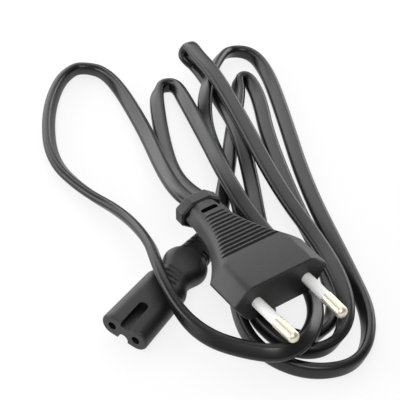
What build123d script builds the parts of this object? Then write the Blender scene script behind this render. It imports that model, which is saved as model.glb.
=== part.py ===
# Mains lead: a flat two-pin plug and a figure-eight appliance connector on a flat two-core flex,
# which lies gathered in long folds behind and under the plug.
# Millimetres, +Z up, floor at z = 0, origin under the middle of the plug and connector.
from build123d import *
import os
from math import atan, degrees, pi, radians, sqrt, tan

os.makedirs("parts", exist_ok=True)

# Flex: jacket, its two cores and their copper
flex_width = 5.6
flex_height = 3.3
core_radius = 1.1
core_pitch = 2.6
copper_radius = 0.55
crimp_radius = 1.25
crimp_length = 3.7
crimp_gap = 1.3

# Room between pieces that are moulded or pushed together
fit = 0.05

# Plug: six-sided head, tapering grip, collar round the flex
head_width = 35.3
head_height = 13.7
head_flat = 24.0
head_rise = 1.5
head_length = 13.0
grip_length = 29.5
neck_width = 13.0
neck_height = 9.6
neck_flat = 6.8
collar_width = 14.8
collar_height = 10.6
collar_flat = 7.0
collar_side = 4.6
collar_length = 4.5
rib_count = 12
rib_pitch = 1.72
rib_start = 16.2
rib_cut = 0.95
rib_fade = 0.35
rib_overrun = 2.0

# Plug pins: round, partly sleeved, leaning in towards their tips
pin_spacing = 18.6
pin_tip_spacing = 17.8
pin_radius = 2.0
pin_length = 19.0
sleeve_radius = 1.8
sleeve_length = 10.0
shank_radius = 1.4

# Connector: figure-eight nose, waisted grip, slotted strain relief
hole_spacing = 8.6
hole_radius = 1.4
nose_width = 16.4
nose_back_width = 15.0
nose_height = 7.9
nose_length = 22.5
waist_width = 11.8
wing_width = 15.0
wing_height = 8.0
relief_length = 10.5
relief_width = 10.2
relief_height = 8.0
tail_width = 8.8
tail_height = 6.2
connector_grip_length = 16.5
contact_radius = 1.2
contact_wall = 0.5
contact_length = 10.8

# Where the two ends lie: the middle of each mating face, the way it points, and the connector's roll
plug_face = (17.53, -10.73, 15.5)
plug_heading = -55.6
connector_face = (-30.11, -18.52, 4.8)
connector_heading = 237.9
connector_roll = -11.4


def across(x):
    return Plane(origin=(x, 0, 0), x_dir=(0, 1, 0), z_dir=(1, 0, 0))


def rod(radius, start, end):
    return extrude(across(start) * Circle(radius), amount=end - start)


def bar(section, start, end):
    return extrude(across(start) * section, amount=end - start)


def corner_radii(points):
    # Each arc takes 0.45 of the shorter of its two runs
    radii = []
    for before, here, after in zip(points, points[1:], points[2:]):
        turn = (here - before).get_angle(after - here)
        shorter = min((here - before).length, (after - here).length)
        radii.append(0.45 * shorter / tan(radians(turn / 2)))
    return radii


def rounded_path(points):
    return FilletPolyline(*points, radius=corner_radii(points))


def tube(radius, path):
    return sweep(Plane(path @ 0, z_dir=path % 0) * Circle(radius), path=path)


def six_sided(width, height, flat, rise):
    # Rise is how far the side corners lie above the middle
    above = [(width / 2, rise), (flat / 2, height / 2), (-flat / 2, height / 2)]
    below = [(-width / 2, rise), (-flat / 2, -height / 2), (flat / 2, -height / 2)]
    outline = make_face(Polyline(*above, *below, close=True))
    outline = fillet(outline.vertices().sort_by(Axis.X)[1:-1], flat_softness)
    corners = outline.vertices().sort_by(Axis.X)
    return fillet([corners[0], corners[-1]], side_softness)


sides = {"right": 1, "left": -1}
plug_place = Location(plug_face, (0, 0, plug_heading))
connector_place = Location(connector_face, (0, 0, connector_heading)) * Rot(connector_roll, 0, 0)
nodes = {}

# Plug pins and their white sleeves, along a pin's own axis from the plug's face
pin_lean = degrees(atan((pin_spacing - pin_tip_spacing) / 2 / pin_length))
pin_seats = {}
for name, side in sides.items():
    pin_seats[name] = Location((0, side * pin_spacing / 2, 0), (0, 0, -side * pin_lean))
sleeve_root = 3.0
sleeve_collar = 1.4
sleeve_collar_radius = 3.0
bridge_side = 3.2
bridge_width = pin_spacing + 2 * bridge_side
bridge_height = 8.0
bridge_length = 5.0
bridge_round = 1.5
bridge_front = -sleeve_root - 2 * fit
bridge_back = bridge_front - bridge_length
rivet_radius = 2.3
rivet_back = bridge_back - 1.1
crimp_back = rivet_back - crimp_length
copper_reach = crimp_length - 0.7

tip = rod(pin_radius, sleeve_length + fit, pin_length)
tip = fillet(tip.edges().sort_by(Axis.X)[-1], 0.85 * pin_radius)
pin = tip + rod(shank_radius, rivet_back, sleeve_length + fit)
pin += rod(rivet_radius, rivet_back, bridge_back - fit)
pin += rod(crimp_radius, crimp_back, rivet_back)
pin -= rod(copper_radius + fit, crimp_back, crimp_back + copper_reach + fit)
sleeve = rod(sleeve_radius, -sleeve_root, sleeve_length)
sleeve = chamfer(sleeve.edges().sort_by(Axis.X)[-1], 0.15)
sleeve += rod(sleeve_collar_radius, -sleeve_root, sleeve_collar - sleeve_root)
sleeve -= rod(shank_radius + fit, -sleeve_root, sleeve_length)
bridge = bar(RectangleRounded(bridge_width, bridge_height, bridge_round), bridge_back, bridge_front)
for name, seat in pin_seats.items():
    bridge -= seat * rod(shank_radius + fit, rivet_back, 0)
    nodes[f"{name}_pin"] = plug_place * seat * pin
    nodes[f"{name}_pin_sleeve"] = plug_place * seat * sleeve
nodes["pin_bridge"] = plug_place * bridge

# Cores that leave the flex inside the plug and fan out to the crimps
plug_back = -head_length - grip_length - collar_length
plug_jacket_depth = 18.0
plug_jacket_end = -head_length - plug_jacket_depth
core_straight = 5.5
core_lead = 3.0
plug_core_room = {}
for name, side in sides.items():
    core_end = (pin_seats[name] * Pos(crimp_back - crimp_gap, 0, 0)).position
    copper_end = (pin_seats[name] * Pos(crimp_back + copper_reach, 0, 0)).position
    core_start = Vector(plug_jacket_end, side * core_pitch / 2, 0)
    bend_in = core_start + Vector(core_straight, 0, 0)
    bend_out = core_end + (core_end - copper_end).normalized() * core_lead
    path = rounded_path([core_start, bend_in, bend_out, core_end])
    core = tube(core_radius, path) - tube(copper_radius + fit, path)
    nodes[f"plug_{name}_core"] = plug_place * core
    copper = tube(copper_radius, path) + tube(copper_radius, Line(core_end, copper_end))
    nodes[f"plug_{name}_copper"] = plug_place * copper
    plug_core_room[name] = tube(core_radius + fit, path)

# Plug moulding: straight head, grip that narrows in a hollow sweep, eight-sided collar


def grip_size(share):
    width = neck_width + (head_width - neck_width) * (1 - share) ** 2.6
    flat = neck_flat + (head_flat - neck_flat) * (1 - share) ** 1.3
    height = neck_height + (head_height - neck_height) * (1 - share) ** 1.2
    return width, height, flat, head_rise * (1 - share)


flat_softness = 4.0
side_softness = 1.1
grip_shares = [0, 0.13, 0.27, 0.43, 0.62, 0.81, 1]
head = bar(six_sided(head_width, head_height, head_flat, head_rise), -head_length, 0)
head = fillet(head.faces().sort_by(Axis.X)[-1].edges(), 0.6)
grip = loft([across(-head_length - grip_length * share) * six_sided(*grip_size(share))
             for share in grip_shares])
collar_corner = [(collar_width / 2, collar_side / 2), (collar_flat / 2, collar_height / 2)]
collar_half = collar_corner + [(-y, z) for y, z in reversed(collar_corner)]
collar_outline = make_face(Polyline(*collar_half, *[(-y, -z) for y, z in collar_half], close=True))
collar = bar(fillet(collar_outline.vertices(), 0.8), plug_back, plug_back + collar_length)
collar = fillet(collar.faces().sort_by(Axis.X)[0].edges(), 0.8)
collar = chamfer(collar.faces().sort_by(Axis.X)[-1].edges(), 0.6)
body = head + grip + collar

grooves = []
for rib in range(rib_count):
    x = -rib_start - rib * rib_pitch
    share = (-x - head_length) / grip_length
    width, height, flat, rise = grip_size(share)
    cut = rib_cut * (1 - rib_fade * share)
    cutter = Rot(0, 45, 0) * Box(cut, flat + rib_overrun, cut)
    grooves += [Pos(x, 0, height / 2) * cutter, Pos(x, 0, -height / 2) * cutter]
window_at = -38.2
window_length = 6.2
window_width = 1.8
window = extrude(Rot(0, 0, 90) * SlotOverall(window_length, window_width), amount=neck_height)
window_floor = flex_height / 2 + 0.6
grooves.append(Pos(window_at, 0, window_floor) * window)
grooves.append(Rot(180, 0, 0) * Pos(window_at, 0, window_floor) * window)
body -= grooves

hollows = [bar(RectangleRounded(bridge_width + 2 * fit, bridge_height + 2 * fit, bridge_round + fit),
               bridge_back - fit, bridge_front + fit)]
hollows.append(bar(SlotOverall(flex_width + 2 * fit, flex_height + 2 * fit), plug_back, plug_jacket_end))
for name, seat in pin_seats.items():
    hollows.append(seat * rod(sleeve_radius + fit, -sleeve_root, 1))
    hollows.append(seat * rod(sleeve_collar_radius + fit, bridge_front, sleeve_collar - sleeve_root + fit))
    hollows.append(seat * rod(rivet_radius + fit, rivet_back - fit, bridge_back))
    hollows.append(seat * rod(crimp_radius + fit, crimp_back - crimp_gap, rivet_back))
    hollows.append(plug_core_room[name])
body -= hollows
nodes["plug_body"] = plug_place * body

# Connector nose: two lobes, a keying groove above, a valley below, stepped bores for the contacts
contact_front = -2.2
contact_back = contact_front - contact_length
contact_outer = contact_radius + contact_wall
contact_floor = 1.5
contact_slit = 0.5
contact_slit_length = 7.0
contact_crimp_back = contact_back - crimp_length
tongue_width = 10.4
tongue_height = 4.4
tongue_length = 3.0
tongue_round = 1.0
tongue_back = -nose_length - tongue_length
key_width = 3.2
key_length = 11.0
key_front_floor = 2.2
key_back_floor = 0.7
valley_width = 3.8
valley_top = -1.1
nose = loft([across(-nose_length) * SlotOverall(nose_back_width, nose_height),
             across(0) * SlotOverall(nose_width, nose_height)], ruled=True)
nose = fillet(nose.faces().sort_by(Axis.X)[-1].edges(), 0.8)
nose += bar(RectangleRounded(tongue_width, tongue_height, tongue_round), tongue_back, -nose_length)
key_end = key_width / 2 - key_length
key_outline = Pos(key_end / 2, 0) * Rectangle(-key_end, key_width) + Pos(key_end, 0) * Circle(key_width / 2)
key_slope = Polyline((0, key_front_floor), (-key_length, key_back_floor), (-key_length, nose_height),
                     (0, nose_height), close=True)
key = extrude(key_outline, amount=nose_height)
key &= extrude(Plane.XZ * make_face(key_slope), amount=key_width, both=True)
nose -= key
valley_section = Pos(0, valley_top - nose_height / 2) * RectangleRounded(
    valley_width, nose_height, 0.49 * valley_width)
nose -= bar(valley_section, -key_length, 0)
contact = rod(contact_outer, contact_back, contact_front - fit)
contact -= rod(contact_radius, contact_back + contact_floor, 0)
contact -= Pos(contact_front - contact_slit_length / 2, 0, 0) * Box(
    contact_slit_length, 2 * contact_outer, contact_slit)
contact += rod(crimp_radius, contact_crimp_back, contact_back)
contact -= rod(copper_radius + fit, contact_crimp_back, contact_crimp_back + copper_reach + fit)
for name, side in sides.items():
    bore = Pos(0, side * hole_spacing / 2, 0)
    nose -= bore * rod(hole_radius, contact_front, 0)
    nose -= bore * rod(contact_outer + fit, contact_back - fit, contact_front)
    nose -= bore * rod(crimp_radius + fit, tongue_back, contact_back)
    nodes[f"{name}_contact"] = connector_place * bore * contact
nodes["connector_nose"] = connector_place * nose

# Cores that leave the flex inside the connector
relief_front = -nose_length - connector_grip_length
connector_back = relief_front - relief_length
connector_jacket_depth = 12.0
connector_jacket_end = -nose_length - connector_jacket_depth
connector_core_room = []
for name, side in sides.items():
    core_start = Vector(connector_jacket_end, side * core_pitch / 2, 0)
    core_end = Vector(contact_crimp_back - crimp_gap, side * hole_spacing / 2, 0)
    copper_end = core_end + Vector(crimp_gap + copper_reach, 0, 0)
    bend_in = core_start + Vector(core_lead, 0, 0)
    bend_out = Vector(tongue_back - 1.6, side * hole_spacing / 2, 0)
    path = rounded_path([core_start, bend_in, bend_out, core_end])
    core = tube(core_radius, path) - tube(copper_radius + fit, path)
    nodes[f"connector_{name}_core"] = connector_place * core
    copper = tube(copper_radius, path) + tube(copper_radius, Line(core_end, copper_end))
    nodes[f"connector_{name}_copper"] = connector_place * copper
    connector_core_room.append(tube(core_radius + fit, path))

# Connector grip: waist, rounded wings, tapering strain relief slotted from both sides
# Each station: share of the grip's length, width, height
grip_stations = [
    (0.0, nose_back_width - 0.4, nose_height - 0.3),
    (0.15, (nose_back_width + waist_width) / 2, nose_height - 0.2),
    (0.35, waist_width, nose_height - 0.1),
    (0.55, (waist_width + 2 * wing_width) / 3, (nose_height + wing_height) / 2),
    (0.74, wing_width, wing_height),
    (0.89, (2 * wing_width + relief_width) / 3, wing_height - 0.1),
    (1.0, relief_width, relief_height),
]
grip_round = 3.6
relief_round = 2.6
grip_sections = []
for share, width, height in grip_stations:
    x = -nose_length - connector_grip_length * share
    grip_sections.append(across(x) * RectangleRounded(width, height, grip_round))
grip = loft(grip_sections)
grip += loft([across(relief_front) * RectangleRounded(relief_width, relief_height, relief_round),
              across(connector_back) * RectangleRounded(tail_width, tail_height, relief_round)])
cuts = []
thumb_count = 4
thumb_pitch = 1.7
thumb_cut = 0.9
thumb_width = 6.0
thumb_start = 0.9
for rib in range(thumb_count):
    x = -nose_length - thumb_start - thumb_pitch * rib
    cutter = Rot(0, 45, 0) * Box(thumb_cut, thumb_width, thumb_cut)
    cuts.append(Pos(x, 0, nose_height / 2) * cutter)
slot_count = 7
slot_width = 0.9
slot_step = 1.2
slot_reach = 2.2
slot_wall = 0.4
slot_core = bar(RectangleRounded(flex_width + 2 * slot_wall, flex_height + 2 * slot_wall, 1.0),
                connector_back, relief_front)
for slot in range(slot_count):
    side = -1 if slot % 2 else 1
    x = relief_front - slot_step * (slot + 1)
    cutter = Box(slot_width, relief_width, 2 * relief_height)
    cuts.append(Pos(x, side * (relief_width / 2 + slot_reach), 0) * cutter - slot_core)
grip -= cuts
grip -= bar(RectangleRounded(tongue_width + 2 * fit, tongue_height + 2 * fit, tongue_round + fit),
            tongue_back - fit, -nose_length)
grip -= bar(SlotOverall(flex_width + 2 * fit, flex_height + 2 * fit), connector_back, connector_jacket_end)
grip -= connector_core_room
nodes["connector_grip"] = connector_place * grip

# Flex: a round tube of the jacket's own cross-section lies along the route, with flat ends in both mouldings
flex_area = (flex_width - flex_height) * flex_height + pi * flex_height ** 2 / 4
tube_radius = sqrt(flex_area / pi)
flat_stub = 2.0
flex_exit = (plug_place * Pos(plug_back - flat_stub / 2, 0, 0)).position
flex_tail = (connector_place * Pos(connector_back - flat_stub / 2, 0, 0)).position
route = [
    # out of the collar and away to the far left fold
    (-13.8, 36.0, 14.7), (-18.4, 51.0, 10.5), (-25.9, 79.0, 6.0), (-35.4, 106.5, 3.4), (-42.9, 120.5, 3.0),
    (-50.4, 125.5, 3.0), (-56.9, 123.5, 3.0), (-61.4, 111.0, 3.0), (-61.9, 90.0, 3.0), (-57.9, 66.5, 3.0),
    # back over the connector and round the front
    (-46.4, 50.5, 3.2), (-32.4, 36.0, 6.0), (-23.4, 16.5, 11.5), (-19.6, 5.0, 13.2), (-16.2, -4.0, 13.2),
    (-10.9, -14.5, 10.4), (-3.9, -22.0, 9.4), (5.6, -26.8, 9.4), (17.1, -29.6, 9.0), (26.3, -25.8, 10.3),
    # beside the plug to the second fold and back under the collar
    (29.6, -10.0, 6.4), (25.6, 5.0, 5.6), (12.1, 32.5, 7.6), (-4.9, 76.5, 7.8), (-12.9, 99.5, 5.0),
    (-16.4, 111.0, 3.0), (-22.4, 112.5, 3.0), (-26.9, 108.5, 3.0), (-25.4, 97.5, 3.0), (-19.4, 77.5, 2.8),
    (-13.6, 62.5, 3.6), (-7.4, 49.5, 6.4), (0.8, 36.8, 8.0), (4.0, 24.5, 6.0), (3.1, 10.5, 2.6),
    (5.6, -12.5, 2.4),
    # widest loop at the front, then the longest run to the back
    (12.6, -26.5, 2.4), (26.1, -32.5, 2.8), (39.6, -27.0, 2.8), (46.1, -11.0, 2.8), (41.1, 12.0, 2.6),
    (30.1, 53.5, 2.4), (23.1, 97.5, 2.6), (18.9, 120.0, 2.8), (13.1, 134.0, 3.0), (4.1, 133.5, 3.8),
    # down the middle and under the plug
    (0.1, 122.5, 6.0), (-3.4, 110.5, 7.8), (-5.9, 97.0, 7.8), (-3.2, 83.0, 2.8), (-2.4, 62.0, 2.6),
    (-1.0, 51.0, 7.2), (3.3, 41.5, 7.2), (7.6, 31.0, 3.8), (9.1, 17.0, 3.6), (8.6, 2.5, 4.8),
    (9.1, -10.0, 5.6),
    (13.1, -20.5, 5.6), (21.1, -26.0, 5.2), (31.1, -24.5, 5.0), (38.6, -13.5, 5.4), (37.6, 2.5, 7.0),
    # top run to the tight fold at the back
    (31.6, 21.0, 7.2), (21.1, 47.0, 8.0), (6.6, 85.5, 11.0), (-1.9, 106.5, 12.6), (-6.4, 118.0, 12.0),
    (-10.1, 128.0, 11.2), (-14.4, 129.8, 6.7), (-16.2, 125.5, 2.4), (-11.9, 116.0, 2.4), (-2.9, 100.8, 2.4),
    # forward again over one strand, then the inmost loop at the front
    (2.6, 86.5, 7.4), (7.6, 72.0, 7.4), (11.6, 55.5, 3.0), (14.6, 38.5, 2.4), (14.6, 14.5, 2.4),
    (14.1, -3.5, 2.4), (15.6, -14.5, 2.4), (22.6, -20.0, 2.4), (29.6, -18.0, 2.4), (35.4, -7.5, 2.4),
    # last run to the back, its fold, and home to the connector
    (34.1, 6.0, 2.4), (31.1, 23.0, 2.4), (26.9, 44.0, 2.4), (18.1, 81.0, 2.4), (15.6, 101.5, 2.8),
    (15.4, 113.0, 3.0), (10.0, 117.3, 3.0), (4.1, 113.8, 3.0), (5.5, 103.0, 2.6), (4.9, 82.5, 2.4),
    (3.5, 57.5, 2.4), (2.2, 44.5, 2.4), (0.9, 35.0, 2.4),
]
route_points = [flex_exit] + [Vector(*point) for point in route] + [flex_tail]
print("radii", [round(radius, 1) for radius in corner_radii(route_points)])
route_path = rounded_path(route_points)
flex = tube(tube_radius, route_path)
print("flex length", round(route_path.length, 1))
print("tube volume", round(flex.volume, 1), "section times length", round(flex_area * route_path.length, 1))
flat_end = SlotOverall(flex_width, flex_height)
flex += plug_place * bar(flat_end, plug_back - flat_stub, plug_jacket_end)
flex += connector_place * bar(flat_end, connector_back - flat_stub, connector_jacket_end)
nodes["cord"] = flex

ends = Compound([shape for name, shape in nodes.items() if name != "cord"])
box = ends.bounding_box()
print("plug and connector box", box.min, box.max)
for name, shape in nodes.items():
    export_step(shape, f"parts/{name}.step")
    print(name, len(shape.solids()), "solid", round(shape.volume, 1), "mm3", shape.is_valid)
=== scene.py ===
from math import radians

import bmesh
import bpy
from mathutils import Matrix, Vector


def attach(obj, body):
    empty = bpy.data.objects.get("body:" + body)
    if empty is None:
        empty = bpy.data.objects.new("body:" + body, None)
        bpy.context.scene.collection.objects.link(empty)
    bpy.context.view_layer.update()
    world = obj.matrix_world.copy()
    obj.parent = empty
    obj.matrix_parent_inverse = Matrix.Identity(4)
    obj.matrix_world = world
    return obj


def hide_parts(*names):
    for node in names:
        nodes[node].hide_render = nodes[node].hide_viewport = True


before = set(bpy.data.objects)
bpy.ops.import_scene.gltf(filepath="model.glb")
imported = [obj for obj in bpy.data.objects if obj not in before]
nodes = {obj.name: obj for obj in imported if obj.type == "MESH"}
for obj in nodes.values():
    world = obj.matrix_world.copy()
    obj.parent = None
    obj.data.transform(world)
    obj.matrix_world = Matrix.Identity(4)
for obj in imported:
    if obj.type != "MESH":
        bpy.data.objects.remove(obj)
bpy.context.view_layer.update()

scene = bpy.context.scene
scene.view_settings.view_transform = "Standard"

# Camera: looks down on the lead from the pin side; lens and sensor in millimetres
cameraSet = {"place": (-0.0071, -0.3110, 0.3123), "tilt": 49.0, "lens": 126.0, "sensor": 36.0,
             "nearest": 0.01}


def placeCamera(spec):
    data = bpy.data.cameras.new("viewCamera")
    data.lens = spec["lens"]
    data.sensor_width = spec["sensor"]
    data.clip_start = spec["nearest"]
    eye = bpy.data.objects.new("viewCamera", data)
    eye.location = spec["place"]
    eye.rotation_euler = (radians(spec["tilt"]), 0, 0)
    scene.collection.objects.link(eye)
    scene.camera = eye
    print("camera at", tuple(round(v, 3) for v in eye.location))


placeCamera(cameraSet)


# A shader socket that can stand in sums
class Wire:
    def __init__(self, tree, socket=None):
        self.tree = tree
        self.socket = socket

    def node(self, kind, settings, values, out=0):
        made = self.tree.nodes.new(kind)
        for name, value in settings.items():
            setattr(made, name, value)
        self.fill(made, values)
        return Wire(self.tree, made.outputs[out])

    def fill(self, made, values):
        for key, value in values.items():
            if isinstance(value, Wire):
                self.tree.links.new(value.socket, made.inputs[key])
            else:
                made.inputs[key].default_value = value

    def maths(self, operation, first, second):
        return self.node("ShaderNodeMath", {"operation": operation}, {0: first, 1: second})

    def __add__(self, other):
        return self.maths("ADD", self, other)

    def __radd__(self, other):
        return self.maths("ADD", other, self)

    def __mul__(self, other):
        return self.maths("MULTIPLY", self, other)

    def __rmul__(self, other):
        return self.maths("MULTIPLY", other, self)

    def noise(self, where, scale, detail=3.0, rough=0.55):
        return self.node("ShaderNodeTexNoise", {}, {"Vector": where, "Scale": scale, "Detail": detail,
                                                    "Roughness": rough})

    def mix(self, share, one, two):
        colours = {0: share, 6: one, 7: two}  # 6 and 7 are the colour inputs, 2 the colour output
        return self.node("ShaderNodeMix", {"data_type": "RGBA"}, colours, out=2)

    def bump(self, height, strength, depth):
        return self.node("ShaderNodeBump", {}, {"Height": height, "Strength": strength, "Distance": depth})


def startMaterial(name):
    material = bpy.data.materials.new(name)
    material.use_nodes = True
    shader = material.node_tree.nodes["Principled BSDF"]
    start = Wire(material.node_tree)
    spot = start.node("ShaderNodeTexCoord", {}, {}, out="Object")
    return material, shader, start, spot


# Mouldings: a slow cloud in tone and roughness over a grain of two sizes, scales per metre
mouldSet = {"cloud": 90, "detail": 2.0, "fineShare": 0.6, "coarseShare": 0.4, "coarseScale": 0.5,
            "cloudRough": 0.10, "grainRough": 0.06, "depth": 0.00012}
pvcSet = {"dark": (0.003, 0.003, 0.0032, 1), "pale": (0.006, 0.006, 0.0063, 1),
          "grain": 2600, "rough": 0.38, "shine": 0.64, "relief": 0.9}
jacketSet = {"dark": (0.003, 0.003, 0.0032, 1), "pale": (0.005, 0.005, 0.0053, 1),
             "grain": 1500, "rough": 0.24, "shine": 0.44, "relief": 0.03}
sleeveSet = {"dark": (0.84, 0.84, 0.82, 1), "pale": (0.90, 0.90, 0.88, 1),
             "grain": 3200, "rough": 0.42, "shine": 0.5, "relief": 0.1}
bridgeSet = {"dark": (0.70, 0.70, 0.66, 1), "pale": (0.80, 0.80, 0.77, 1),
             "grain": 2400, "rough": 0.50, "shine": 0.5, "relief": 0.2}
brownSet = {"dark": (0.11, 0.045, 0.02, 1), "pale": (0.17, 0.075, 0.035, 1),
            "grain": 2000, "rough": 0.40, "shine": 0.5, "relief": 0.1}
blueSet = {"dark": (0.03, 0.09, 0.32, 1), "pale": (0.05, 0.13, 0.42, 1),
           "grain": 2000, "rough": 0.40, "shine": 0.5, "relief": 0.1}


def moulded(name, spec):
    material, shader, start, spot = startMaterial(name)
    cloud = start.noise(spot, mouldSet["cloud"])
    fine = start.noise(spot, spec["grain"], mouldSet["detail"])
    coarse = start.noise(spot, spec["grain"] * mouldSet["coarseScale"], mouldSet["detail"])
    grain = mouldSet["fineShare"] * fine + mouldSet["coarseShare"] * coarse
    rough = spec["rough"] + mouldSet["cloudRough"] * cloud + mouldSet["grainRough"] * grain
    start.fill(shader, {"Base Color": start.mix(cloud, spec["dark"], spec["pale"]),
                        "Roughness": rough,
                        "Specular IOR Level": spec["shine"],
                        "Normal": start.bump(grain, spec["relief"], mouldSet["depth"])})
    return material


plugPvc = moulded("plugPvc", pvcSet)
hardShell = moulded("hardShell", pvcSet)
flexJacket = moulded("flexJacket", jacketSet)
whiteNylon = moulded("whiteNylon", sleeveSet)
bridgeNylon = moulded("bridgeNylon", bridgeSet)
brownCore = moulded("brownCore", brownSet)
blueCore = moulded("blueCore", blueSet)

# Metals: bright tone clouded with a worn one, and a very fine grain
metalSet = {"cloud": 260, "fine": 5200, "detail": 2.0, "cloudRough": 0.10, "fineRough": 0.05,
            "relief": 0.12, "depth": 0.00003}
nickelSet = {"tone": (0.88, 0.83, 0.70, 1), "worn": (0.80, 0.74, 0.58, 1), "rough": 0.34}
bronzeSet = {"tone": (0.56, 0.38, 0.17, 1), "worn": (0.40, 0.26, 0.11, 1), "rough": 0.28}
copperSet = {"tone": (0.72, 0.34, 0.20, 1), "worn": (0.55, 0.24, 0.13, 1), "rough": 0.25}


def bareMetal(name, spec):
    material, shader, start, spot = startMaterial(name)
    cloud = start.noise(spot, metalSet["cloud"])
    fine = start.noise(spot, metalSet["fine"], metalSet["detail"])
    rough = spec["rough"] + metalSet["cloudRough"] * cloud + metalSet["fineRough"] * fine
    start.fill(shader, {"Base Color": start.mix(cloud, spec["tone"], spec["worn"]),
                        "Metallic": 1.0,
                        "Roughness": rough,
                        "Normal": start.bump(fine, metalSet["relief"], metalSet["depth"])})
    return material


nickelPlate = bareMetal("nickelPlate", nickelSet)
springBronze = bareMetal("springBronze", bronzeSet)
copperWire = bareMetal("copperWire", copperSet)
print("finishes ready")

# Flat flex: "flat" is the curve's tilt in degrees at which the jacket lies flat
flexSet = {"width": 0.0056, "thickness": 0.0033, "exit": (-0.0090, 0.0280, 0.0155), "length": 1.56,
           "flat": 90, "edgeSteps": 4, "order": 3, "steps": 12}
# Its route: x, y and z in metres, and how far the jacket leans from lying flat, in degrees
flexRoute = [
    (-0.0068, 0.0247, 0.0155, 0), (-0.0096, 0.0289, 0.0155, 0), (-0.0143, 0.0352, 0.0147, 3),
    (-0.0191, 0.0504, 0.0105, 12), (-0.0262, 0.0787, 0.0052, 22), (-0.0360, 0.1058, 0.0032, 50),
    (-0.0433, 0.1182, 0.0030, 92), (-0.0503, 0.1209, 0.0030, 115), (-0.0552, 0.1199, 0.0030, 100),
    (-0.0603, 0.1103, 0.0030, 70), (-0.0623, 0.0900, 0.0030, 55), (-0.0588, 0.0657, 0.0028, 45),
    (-0.0468, 0.0495, 0.0030, 50), (-0.0324, 0.0357, 0.0050, 65), (-0.0233, 0.0164, 0.0105, 65),
    (-0.0205, 0.0043, 0.0122, 65), (-0.0177, -0.0052, 0.0122, 67), (-0.0125, -0.0163, 0.0100, 97),
    (-0.0048, -0.0240, 0.0086, 130), (0.0051, -0.0286, 0.0086, 130), (0.0170, -0.0320, 0.0097, 130),
    (0.0251, -0.0255, 0.0097, 138), (0.0290, -0.0101, 0.0064, 155), (0.0256, 0.0050, 0.0060, 185),
    (0.0096, 0.0316, 0.0071, 188), (0.0015, 0.0494, 0.0096, 190), (-0.0059, 0.0753, 0.0074, 192),
    (-0.0129, 0.0984, 0.0054, 210), (-0.0164, 0.1102, 0.0030, 255), (-0.0216, 0.1095, 0.0030, 270),
    (-0.0229, 0.1053, 0.0030, 310), (-0.0230, 0.0989, 0.0030, 340), (-0.0203, 0.0768, 0.0024, 345),
    (-0.0166, 0.0591, 0.0028, 350), (-0.0103, 0.0456, 0.0056, 360), (-0.0002, 0.0348, 0.0078, 355),
    (0.0040, 0.0238, 0.0064, 335), (0.0031, 0.0105, 0.0028, 295), (0.0049, -0.0131, 0.0029, 285),
    (0.0126, -0.0265, 0.0028, 278), (0.0265, -0.0332, 0.0028, 277), (0.0410, -0.0291, 0.0028, 255),
    (0.0456, -0.0110, 0.0028, 235), (0.0402, 0.0114, 0.0024, 210), (0.0291, 0.0529, 0.0018, 190),
    (0.0225, 0.0971, 0.0020, 192), (0.0180, 0.1192, 0.0028, 210), (0.0123, 0.1311, 0.0030, 268),
    (0.0034, 0.1311, 0.0036, 300), (-0.0004, 0.1209, 0.0065, 310), (-0.0034, 0.1095, 0.0077, 311),
    (-0.0056, 0.0967, 0.0072, 330), (-0.0051, 0.0825, 0.0031, 345), (0.0006, 0.0591, 0.0054, 360),
    (0.0027, 0.0516, 0.0056, 360), (0.0057, 0.0432, 0.0053, 360), (0.0072, 0.0319, 0.0033, 350),
    (0.0077, 0.0170, 0.0032, 305), (0.0086, 0.0025, 0.0044, 290), (0.0085, -0.0103, 0.0052, 280),
    (0.0140, -0.0188, 0.0046, 278), (0.0216, -0.0256, 0.0041, 277), (0.0318, -0.0245, 0.0041, 268),
    (0.0380, -0.0148, 0.0065, 210), (0.0371, 0.0013, 0.0072, 195), (0.0312, 0.0203, 0.0064, 188),
    (0.0194, 0.0446, 0.0078, 185), (0.0061, 0.0841, 0.0105, 185), (-0.0022, 0.1058, 0.0119, 185),
    (-0.0076, 0.1166, 0.0112, 185), (-0.0107, 0.1244, 0.0108, 184), (-0.0118, 0.1256, 0.0092, 160),
    (-0.0127, 0.1251, 0.0070, 30), (-0.0125, 0.1235, 0.0054, 6), (-0.0071, 0.1217, 0.0019, -10),
    (0.0007, 0.0978, 0.0039, -20), (0.0049, 0.0839, 0.0060, -20), (0.0078, 0.0716, 0.0060, -15),
    (0.0104, 0.0549, 0.0032, -15), (0.0118, 0.0389, 0.0028, -5), (0.0146, 0.0145, 0.0024, 30),
    (0.0141, -0.0035, 0.0029, 65), (0.0156, -0.0145, 0.0029, 97), (0.0228, -0.0192, 0.0028, 97),
    (0.0298, -0.0174, 0.0028, 62), (0.0350, -0.0070, 0.0022, 24), (0.0342, 0.0065, 0.0019, 12),
    (0.0311, 0.0230, 0.0018, 10), (0.0250, 0.0428, 0.0018, 5), (0.0170, 0.0803, 0.0018, 8),
    (0.0148, 0.1014, 0.0026, 12), (0.0117, 0.1124, 0.0030, 45), (0.0091, 0.1150, 0.0030, 90),
    (0.0067, 0.1127, 0.0030, 120), (0.0074, 0.1061, 0.0024, 150), (0.0044, 0.0832, 0.0020, 165),
    (0.0021, 0.0584, 0.0018, 175), (0.0003, 0.0456, 0.0019, 180), (-0.0005, 0.0364, 0.0024, 180),
    (-0.0033, 0.0243, 0.0050, 185), (-0.0052, 0.0213, 0.0051, 190),
]


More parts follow.
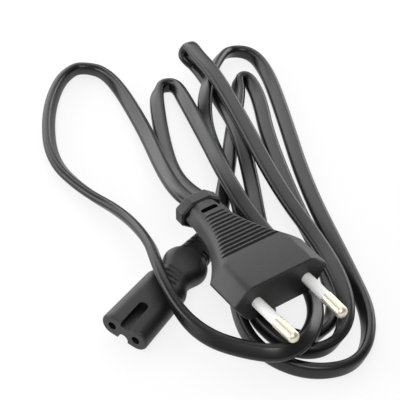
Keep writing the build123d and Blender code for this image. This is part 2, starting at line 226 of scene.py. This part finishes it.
def layFlex(spec, route):
    curve = bpy.data.curves.new("flex", "CURVE")
    curve.dimensions = "3D"
    curve.twist_mode = "Z_UP"
    curve.bevel_depth = spec["thickness"] / 2
    curve.extrude = (spec["width"] - spec["thickness"]) / 2
    curve.bevel_resolution = spec["edgeSteps"]
    curve.use_fill_caps = True
    spline = curve.splines.new("NURBS")
    spline.points.add(len(route) - 1)  # a new spline already has one point
    for point, (x, y, z, lean) in zip(spline.points, route):
        point.co = (x, y, z, 1)
        point.tilt = radians(spec["flat"] - lean)
    spline.order_u = spec["order"]
    spline.use_endpoint_u = True
    spline.resolution_u = spec["steps"]
    spline.use_smooth = True
    flex = bpy.data.objects.new("flex", curve)
    scene.collection.objects.link(flex)
    curve.materials.append(flexJacket)
    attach(flex, "root")
    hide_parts("cord")
    print("flex laid over", len(route), "points")
    return flex


flex = layFlex(flexSet, flexRoute)

# Solids that keep their shape: a merged copy, smooth except at edges sharper than the crease, in degrees
solidSet = {"merge": 1e-6, "crease": 32}


def softCopy(node, name, material):
    shape = bmesh.new()
    shape.from_mesh(nodes[node].data)
    bmesh.ops.remove_doubles(shape, verts=shape.verts, dist=solidSet["merge"])
    for face in shape.faces:
        face.smooth = True
    for edge in shape.edges:
        edge.smooth = edge.calc_face_angle(0) < radians(solidSet["crease"])
    mesh = bpy.data.meshes.new(name)
    shape.to_mesh(mesh)
    shape.free()
    mesh.materials.append(material)
    piece = bpy.data.objects.new(name, mesh)
    scene.collection.objects.link(piece)
    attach(piece, "root")
    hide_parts(node)
    return piece


plugBody = softCopy("plug_body", "plugBody", plugPvc)
connectorNose = softCopy("connector_nose", "connectorNose", hardShell)
connectorGrip = softCopy("connector_grip", "connectorGrip", plugPvc)
for side in ("left", "right"):
    softCopy(f"{side}_pin", f"{side}Pin", nickelPlate)
    softCopy(f"{side}_pin_sleeve", f"{side}PinSleeve", whiteNylon)
    softCopy(f"{side}_contact", f"{side}Contact", springBronze)
print("plug and connector dressed")

# Hidden pieces keep their solids and only get a finish
hidden = {"pin_bridge": bridgeNylon}
for end in ("plug", "connector"):
    hidden[f"{end}_right_core"] = brownCore
    hidden[f"{end}_left_core"] = blueCore
    hidden[f"{end}_right_copper"] = copperWire
    hidden[f"{end}_left_copper"] = copperWire
for node, material in hidden.items():
    mesh = nodes[node].data
    mesh.materials.clear()
    mesh.materials.append(material)
print("hidden pieces finished:", len(hidden))

# Pale floor: "white" is how far it turns plain white where it is seen, mirrored or looked through
floorSet = {"size": 1.5, "tone": (0.90, 0.90, 0.90, 1), "pale": (0.93, 0.93, 0.93, 1), "cloud": 4,
            "rough": 0.7, "white": 0.80}


def layFloor(spec):
    shape = bmesh.new()
    bmesh.ops.create_grid(shape, x_segments=1, y_segments=1, size=spec["size"])
    mesh = bpy.data.meshes.new("floor")
    shape.to_mesh(mesh)
    shape.free()
    floor = bpy.data.objects.new("floor", mesh)
    scene.collection.objects.link(floor)
    material, shader, start, spot = startMaterial("paleFloor")
    cloud = start.noise(spot, spec["cloud"])
    start.fill(shader, {"Base Color": start.mix(cloud, spec["tone"], spec["pale"]),
                        "Roughness": spec["rough"]})
    seen = start.node("ShaderNodeLightPath", {}, {}, out="Is Camera Ray")
    mirrored = start.node("ShaderNodeLightPath", {}, {}, out="Is Glossy Ray")
    through = start.node("ShaderNodeLightPath", {}, {}, out="Is Transmission Ray")
    share = spec["white"] * start.maths("MAXIMUM", start.maths("MAXIMUM", seen, mirrored), through)
    glow = start.node("ShaderNodeEmission", {}, {"Color": (1, 1, 1, 1), "Strength": 1.0})
    matt = Wire(material.node_tree, shader.outputs["BSDF"])
    both = start.node("ShaderNodeMixShader", {}, {0: share, 1: matt, 2: glow})  # the rest keeps the shadow
    start.fill(material.node_tree.nodes["Material Output"], {"Surface": both})
    mesh.materials.append(material)


layFloor(floorSet)

# Soft light: a faint sky and six lamps aimed at the lead, strongest at the left, back left and front
skySet = {"tone": (1, 1, 1, 1), "strength": 0.28}
lampAim = (0, 0.03, 0)
lampSet = {
    "topSoftbox": {"place": (0.0, 0.10, 0.80), "size": (0.6, 0.6), "power": 1.1},
    "backSoftbox": {"place": (-0.05, 0.66, 0.55), "size": (0.6, 0.45), "power": 1.8},
    "backLeftPanel": {"place": (-0.50, 0.62, 0.25), "size": (0.9, 0.5), "power": 3.8},
    "backRightPanel": {"place": (0.50, 0.66, 0.20), "size": (0.6, 0.3), "power": 2.2},
    "leftPanel": {"place": (-0.75, -0.05, 0.22), "size": (0.6, 0.4), "power": 3.3},
    "frontSoftbox": {"place": (-0.10, -0.62, 0.78), "size": (0.5, 0.3), "power": 3.6},
}


def lightSky(spec):
    world = bpy.data.worlds.new("studio")
    scene.world = world
    world.use_nodes = True
    plain = world.node_tree.nodes["Background"]
    plain.inputs["Color"].default_value = spec["tone"]
    plain.inputs["Strength"].default_value = spec["strength"]


def hangLamp(name, spec):
    data = bpy.data.lights.new(name, "AREA")
    data.shape = "RECTANGLE"
    data.size, data.size_y = spec["size"]
    data.energy = spec["power"]
    lamp = bpy.data.objects.new(name, data)
    lamp.location = spec["place"]
    reach = Vector(lampAim) - Vector(spec["place"])
    lamp.rotation_euler = reach.to_track_quat("-Z", "Y").to_euler()
    scene.collection.objects.link(lamp)


lightSky(skySet)
for name, spec in lampSet.items():
    hangLamp(name, spec)
print("studio lit with", len(lampSet), "lamps")
